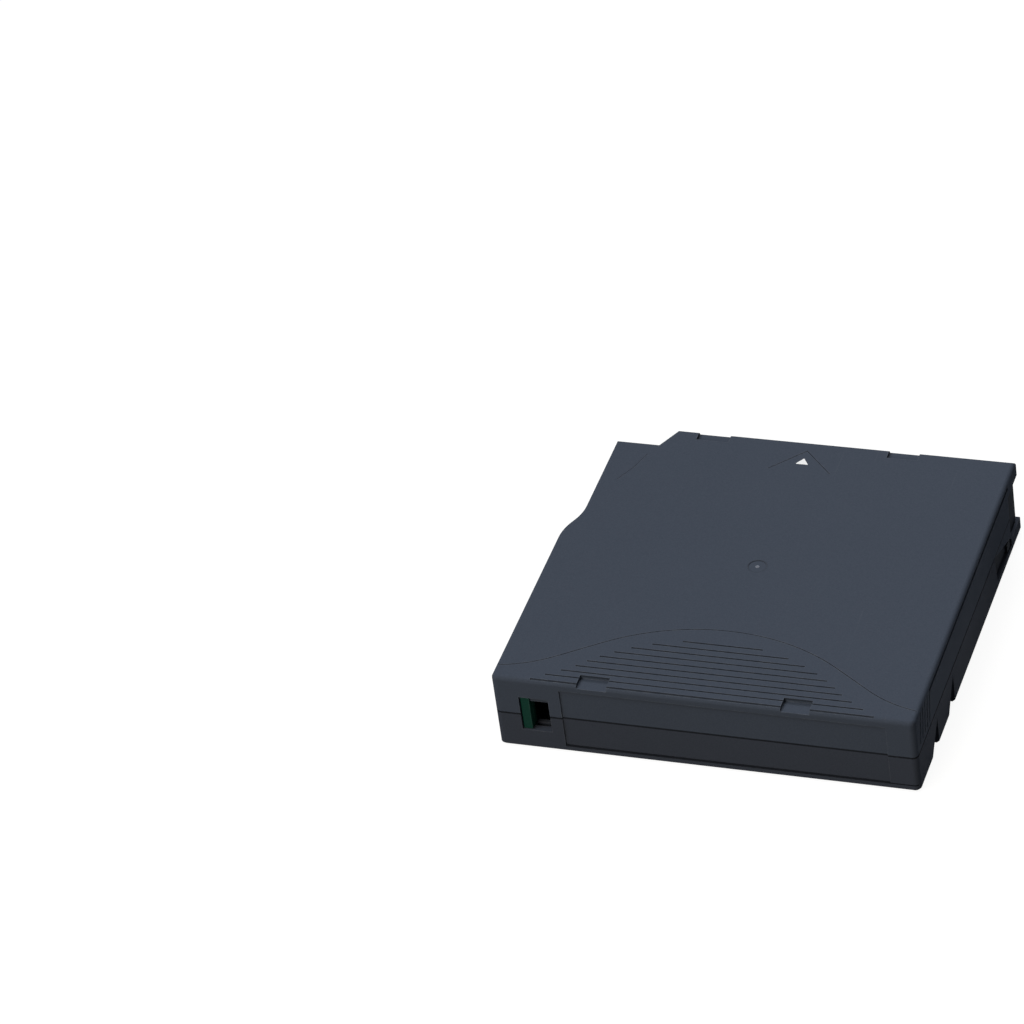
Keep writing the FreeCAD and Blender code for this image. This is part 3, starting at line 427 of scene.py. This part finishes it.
FINISHES = {
    "case_plastic": make_plastic("slate_case", (59, 66, 78), (64, 71, 83), 0.8, gloss=0.02,
                                 seam=0.85),
    "dark_plastic": make_plastic("dark_door", (27, 31, 37), (32, 36, 43), 0.8, gloss=0.04),
    "slider_plastic": make_plastic("green_slider", (2, 40, 32), (4, 48, 38), 0.6, gloss=0.08),
    "reel_plastic": make_plastic("pale_reel", (176, 178, 176), (190, 191, 188), 0.36,
                                 pits=5200.0, depth=0.00001, wear_and_highlight=0.1, gloss=0.5),
    "flange_plastic": make_plastic("clear_flange", (186, 189, 190), (200, 202, 202), 0.3,
                                   pits=5200.0, depth=0.00001, wear_and_highlight=0.1, gloss=0.5),
    "brake_plastic": make_plastic("white_brake", (206, 204, 196), (218, 216, 209), 0.4,
                                  pits=4600.0, depth=0.00001, wear_and_highlight=0.1, gloss=0.5),
}
print("plastics:", sorted(FINISHES))

# %% [markdown]
# ## Metals
#
# The clutch washer, the pin and the springs are bare steel, the screws are zinc-plated, and the
# hub's ring is aluminium. Lathe rings or rolling lines carry the roughness up and down, which is
# what the eye reads as machined metal, and the tone drifts only a little with them.

# %% One recipe for bare metal
REEL_CENTRE = (0, 0, 0)                # the reel turns about the line along Z through it
DARK_METAL = 0.86                      # darker end of a metal's tone, as a share of the lighter
HANDLED_SHARE = 0.12                   # how much handling adds to the lines in the roughness


def make_metal(name, colour, rough, distance, lines=8000.0, depth=0.000004):
    """distance is a function that gives, in a tree, the distance along which the lines follow."""
    material, tree, shader = start_material(name, Metallic=1.0)
    rings = use(tree, TURNED, Lines_per_metre=lines)
    tree.links.new(distance(tree), rings["Height"].node.inputs["Distance"])
    marks = use(tree, HANDLING, Patches_per_metre=90.0)
    darker = linear(*[channel * DARK_METAL for channel in colour])
    tree.links.new(mix_colour(tree, rings["Tone"], linear(*colour), darker),
                   shader["Base Color"])
    worn = maths(tree, "MULTIPLY", marks["Polish"], HANDLED_SHARE)
    tree.links.new(spread(tree, maths(tree, "ADD", rings["Tone"], worn), 0.0, 1.1, rough - 0.06,
                          rough + 0.08), shader["Roughness"])
    raise_bumps(tree, shader, rings["Height"], depth, 0.6)
    return material


def centre_of(node):
    low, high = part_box(node)
    return (low + high) / 2


pin_place = centre_of("leader_pin")
FINISHES["pin_steel"] = make_metal("turned_pin", (196, 196, 194), 0.26,
                                   lambda tree: height_of(tree, 2))
FINISHES["plate_steel"] = make_metal("lapped_plate", (150, 152, 155), 0.26,
                                     lambda tree: distance_from(tree, REEL_CENTRE, 2))
FINISHES["screw_steel"] = make_metal("zinc_screw", (150, 152, 156), 0.38,
                                     lambda tree: height_of(tree, 2))
FINISHES["ring_aluminium"] = make_metal("turned_ring", (202, 204, 207), 0.3,
                                        lambda tree: height_of(tree, 2))
FINISHES["spring_steel"] = make_metal("drawn_wire", (168, 168, 170), 0.3,
                                      lambda tree: height_of(tree, 0), lines=3000.0)
print("metals made; the pin stands at", [round(v, 4) for v in pin_place])

# %% [markdown]
# ## Tape
#
# Hundreds of metres of tape, a few thousandths of a millimetre thick, are wound on the hub. Its edge
# is what shows between the flanges: near-black brown, with fine rings where a few turns stand proud
# of the rest. The magnetic face, on the free run to the pin, is smooth and glossy.

# %% Wound tape
def make_tape():
    """Dark brown, with the fine rings of the wound turns round the reel's axis."""
    material, tree, shader = start_material("wound_tape", Specular_IOR_Level=0.5)
    rings = use(tree, TURNED, Lines_per_metre=5200.0)
    tree.links.new(distance_from(tree, REEL_CENTRE, 2), rings["Height"].node.inputs["Distance"])
    marks = use(tree, HANDLING, Patches_per_metre=40.0)
    tree.links.new(mix_colour(tree, rings["Tone"], linear(34, 28, 25), linear(47, 39, 34)),
                   shader["Base Color"])
    tree.links.new(spread(tree, marks["Polish"], 0.0, 1.0, 0.34, 0.22), shader["Roughness"])
    raise_bumps(tree, shader, rings["Height"], 0.00002, 0.7)
    return material


FINISHES["tape"] = make_tape()
print("tape made")

# %% [markdown]
# ## The memory board
#
# A small radio board leans in the rear corner. Its lacquer is green, and the aerial is a flat spiral
# of copper under the lacquer, so the turns show as lighter green lines. The spiral is drawn with the
# distance from the board's edge, measured along X and Y: a wave of that distance, kept where it is
# near the edge, gives nested rectangles. The same wave raises the lacquer by a hundredth of a
# millimetre, over the whole board. The chip is a drop of black resin.

# %% Lacquered board and resin chip
AERIAL_PITCH = 0.6 * MM                # from one turn of the aerial to the next
AERIAL_FADE = (3.0 * MM, 3.2 * MM)     # its innermost turn, from the edge of the board
COPPER_SHARE = 0.6                     # how much of the copper shows through the lacquer


def make_board():
    """Green lacquer over nested rectangles of copper along the edge."""
    material, tree, shader = start_material("green_board", Specular_IOR_Level=0.5)
    low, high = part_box("memory_board")
    middle, half = (low + high) / 2, (high - low) / 2
    moved = add(tree, "VectorMath", operation="SUBTRACT", in0=place_on(tree), in1=middle)
    size = add(tree, "VectorMath", operation="ABSOLUTE", in0=moved.outputs[0])
    inward = add(tree, "SeparateXYZ", Vector=size.outputs[0])
    across = maths(tree, "SUBTRACT", half.x, inward.outputs[0])
    along = maths(tree, "SUBTRACT", half.y, inward.outputs[1])
    edge = maths(tree, "MINIMUM", across, along)
    wave = maths(tree, "SINE", maths(tree, "MULTIPLY", edge, 2 * math.pi / AERIAL_PITCH))
    line = spread(tree, wave, 0.2, 0.5, 0.0, 1.0)
    near = spread(tree, edge, *AERIAL_FADE, 1.0, 0.0)
    copper = maths(tree, "MULTIPLY", line, near)
    grain = use(tree, GRAIN, Pits_per_metre=2500.0)
    lacquer = mix_colour(tree, grain["Tone"], linear(18, 72, 46), linear(22, 80, 52))
    tree.links.new(mix_colour(tree, maths(tree, "MULTIPLY", copper, COPPER_SHARE), lacquer,
                              linear(92, 128, 66)), shader["Base Color"])
    tree.links.new(spread(tree, grain["Tone"], 0.0, 1.0, 0.24, 0.34), shader["Roughness"])
    raise_bumps(tree, shader, line, 0.00001, 0.5)
    return material


FINISHES["board"] = make_board()
FINISHES["chip"] = make_plastic("resin_chip", (22, 22, 24), (28, 28, 30), 0.3, gloss=0.5)
print("board and chip made")

# %% [markdown]
# ## Giving each solid its finish
#
# The record says which material slot each node takes its finish from, so one table from slot to
# material dresses everything, and a node can't be forgotten. Only the lower shell has a finish of
# its
# own: the upper one's with a darker tone, which is painted shade on the lower half of the case.

# %% Dress the frame's nodes
# The lower shell's darker tone is painted shade.
OWN_FINISH = {"lower_shell": make_plastic("slate_base", (53, 58, 68), (58, 63, 73), 0.8,
                                          gloss=0.02, seam=0.85)}
for entry in frame["record"]["subparts"]:
    solid = frame["nodes"][entry["node"]]
    for place in solid.material_slots:
        place.material = OWN_FINISH.get(entry["node"], FINISHES[entry["material_slot"]])
    print(f"{entry['node']}: {entry['material_slot']}")

# %% [markdown]
# ## Coil springs
#
# A compression spring is a round wire swept along a helix, with its last turn at each end wound flat
# against the one before, so that it stands square on its seat. As a surface it has two parameters:
# how far along the wire, and how far round it. The height rises slowly in the end turns and at a
# steady pitch between them. The frame holds both springs as plain coils, so these stand in for
# them. The two functions that close a skin and make it a piece also serve the turned pieces and the
# screws.

# %% Closed skins
def skin_rings(rings, first_tip, last_tip):
    """Closes rings of points, an array (rings, sides, 3): a quad between each pair of neighbours,
    and a fan from a tip over each end. Rings run anticlockwise seen against their direction."""
    count, sides = rings.shape[:2]
    points = np.concatenate([rings.reshape(-1, 3), [first_tip], [last_tip]])
    around = np.arange(sides)
    beside = (around + 1) % sides
    starts = np.arange(count - 1)[:, None] * sides
    first, after = (starts + around).ravel(), (starts + beside).ravel()
    skin = np.stack([first, after, after + sides, first + sides], axis=1)
    end = (count - 1) * sides
    start_fan = np.stack([np.full(sides, count * sides), beside, around], axis=1)
    end_fan = np.stack([np.full(sides, count * sides + 1), end + around, end + beside], axis=1)
    return points, skin.tolist() + start_fan.tolist() + end_fan.tolist()


def make_piece(name, points, faces, finish, body, slot, sharp=40):
    """A mesh object at the origin, with its finish and the body it rides on. The argument slot, for
    its record slot, is not used. Edges that turn by more than the angle sharp, in degrees, stay
    crisp."""
    mesh = bpy.data.meshes.new(name)
    mesh.from_pydata(points.tolist(), [], faces)
    mesh.shade_smooth()
    mesh.set_sharp_from_angle(angle=math.radians(sharp))
    mesh.materials.append(finish)
    piece = bpy.data.objects.new(name, mesh)
    bpy.context.scene.collection.objects.link(piece)
    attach(piece, body)
    print(f"{name}: {len(faces)} faces")
    return piece


# %% A wire swept along a centre line
def sweep_wire(line, radius, sides=12):
    """Rings of points round each point of the line, square to its direction: centre plus radius
    times (cosine of the turn along one side direction, sine along the other)."""
    run = np.gradient(line, axis=0)
    run /= np.linalg.norm(run, axis=1, keepdims=True)
    outward = line - line.mean(axis=0)
    outward -= (outward * run).sum(axis=1, keepdims=True) * run
    outward /= np.linalg.norm(outward, axis=1, keepdims=True)
    upward = np.cross(run, outward)
    turn = np.linspace(0, 2 * np.pi, sides, endpoint=False)[None, :, None]
    rings = line[:, None, :] + radius * (np.cos(turn) * outward[:, None, :]
                                         + np.sin(turn) * upward[:, None, :])
    return skin_rings(rings, line[0], line[-1])


CLOSED_END = 0.55                      # turns at each end that rise one wire thickness a turn
EASING = 0.5                           # turns over which the pitch opens


def coil_line(coil_radius, wire_radius, length, turns, steps_per_turn=36):
    """Points of a helix about Z: (radius cos, radius sin, height). The height is the running sum of
    a pitch that is one wire thickness in the end turns and even between them."""
    count = int(turns * steps_per_turn) + 1
    wound = np.linspace(0, turns, count)
    from_end = np.minimum(wound, turns - wound)
    open_share = np.clip((from_end - CLOSED_END) / EASING, 0, 1)
    open_share = open_share * open_share * (3 - 2 * open_share)
    step = turns / (count - 1)
    closed = 2 * wire_radius
    rise_needed = length - 2 * wire_radius
    open_pitch = (rise_needed - closed * turns) / (open_share.sum() * step)
    height = np.concatenate([[0], np.cumsum((closed + open_pitch * open_share[:-1]) * step)])
    height *= rise_needed / height[-1]
    angle = 2 * np.pi * wound
    return np.stack([coil_radius * np.cos(angle), coil_radius * np.sin(angle),
                     wire_radius + height], axis=1)


print("spring helpers ready")

# %% The brake's spring
BRAKE_WIRE = 0.45 * MM                 # radius of the wire
BRAKE_TURNS = 5.5
low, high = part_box("brake_spring")
brake_length = high.z - low.z
brake_line = coil_line((high.x - low.x) / 2 - BRAKE_WIRE, BRAKE_WIRE, brake_length, BRAKE_TURNS)
brake_line[:, 2] += low.z
brake_coil = make_piece("brake_coil", *sweep_wire(brake_line, BRAKE_WIRE),
                        FINISHES["spring_steel"], "case", "spring_steel", sharp=80)
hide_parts("brake_spring")
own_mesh(brake_coil)

# %% The door's spring
DOOR_WIRE = 0.2 * MM                   # radius of the wire
DOOR_TURNS = 12.0
low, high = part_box("door_spring")
door_length = high.y - low.y
door_line = coil_line((high.x - low.x) / 2 - DOOR_WIRE, DOOR_WIRE, door_length, DOOR_TURNS, 24)
centre = (low + high) / 2
door_line = np.stack([centre.x + door_line[:, 0], low.y + door_line[:, 2],
                      centre.z - door_line[:, 1]], axis=1)
door_coil = make_piece("door_coil", *sweep_wire(door_line, DOOR_WIRE, 10),
                       FINISHES["spring_steel"], "case", "spring_steel", sharp=80)
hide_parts("door_spring")
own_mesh(door_coil)

# %% [markdown]
# ## Turned pieces
#
# The pin, the heads of the staked pegs and the small nub in the gate recess are all round, so one
# lathe function makes them: a profile of radius and height goes round an axis. The pin has a
# chamfered head at each end, for the drive's grabber, and a slim waist for the clip. The pegs of the
# hub come through the steel washer and are melted over it, which leaves three low domes.

# %% A lathe
def turn_on_lathe(profile, centre, sides=48):
    """Each (radius, height) pair of the profile, in mm, goes round to (radius cos, radius sin,
    height), moved to the centre. The first and last pairs lie on the axis and close the skin."""
    profile = np.asarray(profile, float) * MM
    turn = np.linspace(0, 2 * np.pi, sides, endpoint=False)
    radius, height = profile[1:-1, 0][:, None], profile[1:-1, 1][:, None]
    rings = np.stack([radius * np.cos(turn), radius * np.sin(turn),
                      np.broadcast_to(height, (len(radius), sides))], axis=2)
    centre = np.asarray(centre, float)
    tips = [centre + (0, 0, profile[end, 1]) for end in (0, -1)]
    return skin_rings(rings + centre, *tips)


# %% The leader pin
low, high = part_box("leader_pin")
pin_length = (high.z - low.z) / MM
# Radius and height in mm, from the pin's end to its waist.
HEAD = [(0.0, 0.0), (1.45, 0.0), (1.72, 0.06), (1.93, 0.2), (2.0, 0.38), (2.0, 1.12), (1.94, 1.26),
        (1.8, 1.3), (1.32, 1.3), (1.22, 1.36), (1.2, 1.46)]
profile = HEAD + [(radius, pin_length - height) for radius, height in reversed(HEAD)]
turned_pin = make_piece("turned_pin", *turn_on_lathe(
    profile, ((low.x + high.x) / 2, (low.y + high.y) / 2, low.z), 64),
    FINISHES["pin_steel"], "case", "pin_steel", sharp=50)
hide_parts("leader_pin")

# %% Heads of the staked pegs, and the nub in the gate recess
PEG_CIRCLE = 9.0 * MM
PEG_ANGLES = (48, 168, 288)
plate_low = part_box("drive_plate")[0].z
# Radius and height in mm. The domes hang below the washer.
DOME = [(0.0, -0.24), (0.45, -0.22), (0.8, -0.16), (1.05, -0.06), (1.12, 0.0), (1.12, 0.02),
        (0.0, 0.02)]
for number, degrees in enumerate(PEG_ANGLES, 1):
    place = (PEG_CIRCLE * math.cos(math.radians(degrees)),
             PEG_CIRCLE * math.sin(math.radians(degrees)), plate_low)
    make_piece(f"staked_head_{number}", *turn_on_lathe(DOME, place, 32),
               FINISHES["reel_plastic"], "reel", "reel_plastic")
# Radius and height in mm, from the floor of the gate recess.
NUB = [(0.0, -0.02), (0.5, -0.02), (0.5, 0.0), (0.42, 0.06), (0.25, 0.11), (0.0, 0.13)]
make_piece("gate_nub", *turn_on_lathe(NUB, GATE, 32),
           make_plastic("torn_gate", (92, 98, 110), (106, 112, 124), 0.6, gloss=0.1),
           "case", "case_plastic")

# %% [markdown]
# ## Screws
#
# Four small screws hold the shells together from below, each sunk in a round well. The head is a low
# pan with a cross recess. In polar terms the outline of a cross is simple: along each direction, the
# further of the two bars' edges. So the screw is one stack of rings, some of them crosses and some
# circles, and the whole of it closes like a turned piece. A boolean cut would leave long thin faces.

# %% Cross-recessed screws
CROSS_ARM = 1.25 * MM
CROSS_HALF_WIDTH = CROSS_ARM * math.tan(math.radians(15))
RECESS_FLOOR, RECESS_TIP = 0.70, 0.72  # mm in from the head's face
SHANK_POINT = 1.0                      # mm of the shank's end that tapers to its tip


def cross_reach(turn, arm, half_width):
    """How far a cross reaches in each direction: for either bar, the nearer of its end and its
    side, and the further of the two bars."""
    cosine = np.maximum(np.abs(np.cos(turn)), 1e-9)
    sine = np.maximum(np.abs(np.sin(turn)), 1e-9)
    return np.maximum(np.minimum(arm / cosine, half_width / sine),
                      np.minimum(arm / sine, half_width / cosine))


def screw_skin(x, y, low, high, sides=48):
    """Rings from the floor of the recess, over the face and down the shank. low and high are the
    heights of the head's face and the shank's end."""
    turn = np.linspace(0, 2 * np.pi, sides, endpoint=False)
    cross = cross_reach(turn, CROSS_ARM, CROSS_HALF_WIDTH)
    circle = np.full(sides, 1.0 * MM)
    # Each ring's reach, a circle's as its radius in mm, and its height in mm from the head's face.
    outlines = [(cross * 0.55, RECESS_FLOOR), (cross, 0.10), (circle * 1.5, 0.03),
                (circle * 1.85, 0.10), (circle * 2.1, 0.26), (circle * 2.2, 0.50),
                (circle * 2.2, 1.05), (circle * 1.05, 1.05),
                (circle * 1.05, (high - low) / MM - SHANK_POINT)]
    rings = np.stack([np.stack([x + reach * np.cos(turn), y + reach * np.sin(turn),
                                np.full(sides, low + height * MM)], axis=1)
                      for reach, height in outlines])
    return skin_rings(rings, (x, y, low + RECESS_TIP * MM), (x, y, high))


solid = frame["nodes"]["case_screws"].data
corners = np.empty(len(solid.vertices) * 3)
solid.vertices.foreach_get("co", corners)
corners = corners.reshape(-1, 3)
low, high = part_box("case_screws")
screw_points, screw_faces = [], []
for side in (-1, 1):
    for end in (-1, 1):
        own = corners[(corners[:, 0] * side > 0) & (corners[:, 1] * end > 0)]
        x, y = (own.min(axis=0) + own.max(axis=0))[:2] / 2
        points, faces = screw_skin(x, y, low.z, high.z)
        shift = sum(len(part) for part in screw_points)
        screw_faces += [[corner + shift for corner in face] for face in faces]
        screw_points.append(points)
screws = make_piece("cross_screws", np.concatenate(screw_points), screw_faces,
                    FINISHES["screw_steel"], "case", "screw_steel")
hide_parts("case_screws")

# %% [markdown]
# ## The printed arrow
#
# A small white triangle inside the chevron groove points at the end that goes into the drive. It is
# pad-printed ink, a few hundredths of a millimetre thick with soft corners. A flat outline with a
# thickness is enough; a decal image would be one more file.

# %% Print the arrow
def rounded_triangle(corners, radius, steps=6):
    """Each corner is replaced by an arc of the given radius: its centre lies on the corner's
    bisector, radius over the sine of half the angle away, and the arc runs between the two edges."""
    points = []
    for index in range(3):
        corner, before, after = corners[index], corners[index - 1], corners[(index + 1) % 3]
        one, two = before - corner, after - corner
        one, two = one / np.linalg.norm(one), two / np.linalg.norm(two)
        half = math.acos(float(one @ two)) / 2
        middle = (one + two) / np.linalg.norm(one + two)
        centre_point = corner + middle * radius / math.sin(half)
        start = corner + one * radius / math.tan(half) - centre_point
        end = corner + two * radius / math.tan(half) - centre_point
        share = np.linspace(0, 1, steps)[:, None]
        arc = start * (1 - share) + end * share
        arc *= radius / np.linalg.norm(arc, axis=1, keepdims=True)
        points.append(centre_point + arc)
    return np.concatenate(points)


def film_of_ink(outline, level, thickness):
    """A closed film: the outline at two heights, a fan over each, and a wall round the edge."""
    count = len(outline)
    low_ring = np.column_stack([outline, np.full(count, level)])
    high_ring = np.column_stack([outline, np.full(count, level + thickness)])
    middle = outline.mean(axis=0)
    points = np.concatenate([low_ring, high_ring, [[*middle, level]],
                             [[*middle, level + thickness]]])
    here, there = np.arange(count), (np.arange(count) + 1) % count
    wall = np.column_stack([here, there, there + count, here + count])
    over = np.column_stack([np.full(count, 2 * count + 1), here + count, there + count])
    under = np.column_stack([np.full(count, 2 * count), there, here])
    return points, wall.tolist() + over.tolist() + under.tolist()


def make_ink():
    """White ink, a little uneven in tone and gloss."""
    material, tree, shader = start_material("white_ink", Specular_IOR_Level=0.3)
    speckle = use(tree, GRAIN, Pits_per_metre=6000.0)
    tree.links.new(mix_colour(tree, speckle["Tone"], linear(206, 209, 213),
                              linear(232, 234, 236)), shader["Base Color"])
    tree.links.new(spread(tree, speckle["Tone"], 0.0, 1.0, 0.5, 0.62), shader["Roughness"])
    raise_bumps(tree, shader, speckle["Height"], 0.000006)
    return material


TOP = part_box("upper_shell")[1].z
ARROW = np.array([[-1.65, 41.7], [1.65, 41.7], [0.0, 44.1]]) * MM   # X and Y of the corners
ARROW_ROUND = 0.12 * MM
INK_SINK = 0.02 * MM                   # how far the film reaches into the top plate
INK_THICKNESS = 0.026 * MM
make_piece("insertion_arrow",
           *film_of_ink(rounded_triangle(ARROW, ARROW_ROUND), TOP - INK_SINK, INK_THICKNESS),
           make_ink(), "case", "case_plastic")

# %% [markdown]
# ## Floor and light
#
# A pale floor carries a soft shadow. It adds a white glow that only the camera, mirrors and glass
# see, so the background is white while the floor throws no more light on the case than a grey one
# would. The world does the same. Four soft lamps light the case: a large one above and to the left
# of the label end, a warm one in front of the label face, a weak one behind with a narrow beam that
# is aimed past the door's side, and a very weak one on that side, which stays dark and shapes the
# case.

# %% Floor
FLOOR_HALF = 3.0
FLOOR_DROP = 0.05 * MM                 # clear of the underside, so that the two don't flicker
FLOOR_GREY = (0.13, 0.13, 0.13, 1.0)
FLOOR_GLOW = 0.92


def seen_directly(tree):
    """1 for rays from the camera, a gloss or glass, and 0 for the diffuse rays that gather light."""
    seen = add(tree, "LightPath").outputs
    direct = maths(tree, "MAXIMUM", seen["Is Camera Ray"], seen["Is Glossy Ray"])
    return maths(tree, "MAXIMUM", direct, seen["Is Transmission Ray"])


def make_floor():
    """A square under the case, diffuse grey plus a glow for direct rays."""
    level = CAD_BOX[0][2] - FLOOR_DROP
    points = np.array([[-FLOOR_HALF, -FLOOR_HALF, level], [FLOOR_HALF, -FLOOR_HALF, level],
                       [FLOOR_HALF, FLOOR_HALF, level], [-FLOOR_HALF, FLOOR_HALF, level]])
    mesh = bpy.data.meshes.new("floor")
    mesh.from_pydata(points.tolist(), [], [(0, 1, 2, 3)])
    floor = bpy.data.objects.new("floor", mesh)
    bpy.context.scene.collection.objects.link(floor)
    material = bpy.data.materials.new("pale_floor")
    material.use_nodes = True
    tree = material.node_tree
    tree.nodes.clear()
    matt = add(tree, "BsdfDiffuse", Color=FLOOR_GREY)
    glow = add(tree, "Emission", Strength=maths(tree, "MULTIPLY", seen_directly(tree), FLOOR_GLOW))
    both = add(tree, "AddShader", in0=matt.outputs[0], in1=glow.outputs[0])
    output = tree.nodes.new("ShaderNodeOutputMaterial")
    tree.links.new(both.outputs[0], output.inputs["Surface"])
    mesh.materials.append(material)


make_floor()
print("floor made")

# %% Lamps and world
WORLD_LIGHT = 0.11                     # strength that reaches the case; direct rays see 1


def add_lamp(name, place, aim, size, watts, beam=180, colour=(1.0, 1.0, 1.0)):
    """A square area lamp at a place, turned to face a point, with its beam's width in degrees."""
    lamp_data = bpy.data.lights.new(name, "AREA")
    lamp_data.size = size
    lamp_data.energy = watts
    lamp_data.spread = math.radians(beam)
    lamp_data.color = colour
    lamp = bpy.data.objects.new(name, lamp_data)
    bpy.context.scene.collection.objects.link(lamp)
    direction = Vector(aim) - Vector(place)
    lamp.matrix_world = (Matrix.Translation(place)
                         @ direction.to_track_quat("-Z", "Y").to_matrix().to_4x4())


add_lamp("key_lamp", (-0.75, -0.55, 1.35), (0, 0, 0), 0.9, 13.8)
add_lamp("back_lamp", (0.0, 0.9, 0.9), (0.22, 0.02, 0), 0.5, 1.4, beam=60)
add_lamp("side_lamp", (1.3, 0.1, 0.45), (0, 0, 0.01), 0.8, 0.6)
add_lamp("face_lamp", (-0.35, -1.5, 0.8), (0, 0, 0.01), 0.7, 14.0, colour=(1.0, 0.9, 0.76))

world = bpy.data.worlds.new("studio")
bpy.context.scene.world = world
world.use_nodes = True
tree = world.node_tree
tree.nodes.clear()
sky = add(tree, "Background",
          Strength=spread(tree, seen_directly(tree), 0.0, 1.0, WORLD_LIGHT, 1.0))
tree.links.new(sky.outputs[0], tree.nodes.new("ShaderNodeOutputWorld").inputs["Surface"])
print("lamps and world made")

# %% [markdown]
# ## Closing the script
#

# %% End of the script
print("the cartridge is dressed")
